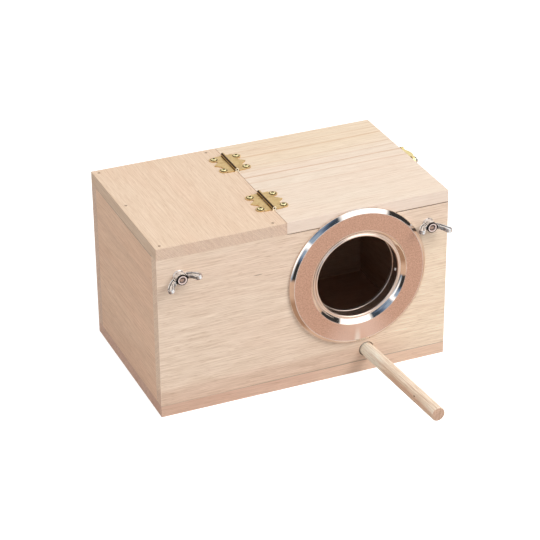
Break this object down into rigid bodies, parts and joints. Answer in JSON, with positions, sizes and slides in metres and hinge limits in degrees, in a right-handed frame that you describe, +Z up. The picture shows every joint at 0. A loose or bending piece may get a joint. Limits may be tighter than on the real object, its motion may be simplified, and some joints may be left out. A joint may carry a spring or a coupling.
{
  "type": "bird breeding box",
  "caption": "Wooden nest box for cage birds with a hinged lid, round metal-rimmed entrance, dowel perch and wing-nut cage fixings.",
  "frame": {"origin": "centre of the underside of the box", "axes": "+Z up, -Y out of the front face with the entrance, +X to the right as seen from the front"},
  "size_m": [0.2567, 0.2701, 0.1533],
  "materials": {
    "panel_wood": "bare, sanded pale wood",
    "perch_wood": "bare turned dowel",
    "brass": "polished, brass plated",
    "steel": "bright wire",
    "plated_steel": "bright zinc plate",
    "ring_metal": "satin face with polished bevels"
  },
  "bodies": {
    "box": {"base_board": "panel_wood", "front_panel": "panel_wood", "back_panel": "panel_wood", "left_panel": "panel_wood", "right_panel": "panel_wood", "fixed_top": "panel_wood", "rear_hinge_fixed_leaf": "brass", "rear_hinge_pin": "steel", "front_hinge_fixed_leaf": "brass", "front_hinge_pin": "steel", "fixed_leaf_screws": "brass", "entrance_ring": "ring_metal", "ring_brads": "steel", "left_bolt": "plated_steel", "right_bolt": "plated_steel", "catch_stud": "brass", "top_brads": "steel", "base_brads": "steel"},
    "lid": {"lid": "panel_wood", "rear_hinge_lid_leaf": "brass", "front_hinge_lid_leaf": "brass", "lid_leaf_screws": "brass", "catch_plate": "brass", "catch_plate_screws": "brass", "catch_pivot": "steel"},
    "hook": {"catch_hook": "brass"},
    "perch": {"perch": "perch_wood"},
    "left_washer": {"left_washer": "plated_steel"},
    "left_nut": {"left_wing_nut": "plated_steel"},
    "right_washer": {"right_washer": "plated_steel"},
    "right_nut": {"right_wing_nut": "plated_steel"}
  },
  "joints": [
    {"name": "lid_hinge", "type": "hinge", "parent": "box", "child": "lid", "pos_m": [-0.016, 0, 0.1517], "axis": [0, -1, 0], "range_deg": [0, 170]},
    {"name": "hook_swing", "type": "hinge", "parent": "lid", "child": "hook", "pos_m": [0.125, -0.0065, 0.146], "axis": [-1, 0, 0], "range_deg": [-90, 90]},
    {"name": "perch_pull", "type": "slide", "parent": "box", "child": "perch", "axis": [0.0331, -0.9986, 0.0401], "range_m": [0, 0.022]},
    {"name": "left_nut_spin", "type": "hinge", "parent": "left_washer", "child": "left_nut", "pos_m": [-0.107, -0.076, 0.124], "axis": [0, -1, 0], "range_deg": [0, 2700]},
    {"name": "left_nut_travel", "type": "slide", "parent": "box", "child": "left_washer", "axis": [0, -1, 0], "range_m": [0, 0.006]},
    {"name": "right_nut_spin", "type": "hinge", "parent": "right_washer", "child": "right_nut", "pos_m": [0.107, -0.076, 0.124], "axis": [0, -1, 0], "range_deg": [0, 2700]},
    {"name": "right_nut_travel", "type": "slide", "parent": "box", "child": "right_washer", "axis": [0, -1, 0], "range_m": [0, 0.006]}
  ],
  "couplings": [
    {"joint": "left_nut_travel", "follows": "left_nut_spin", "m_per_rad": 0.00012732},
    {"joint": "right_nut_travel", "follows": "right_nut_spin", "m_per_rad": 0.00012732}
  ]
}
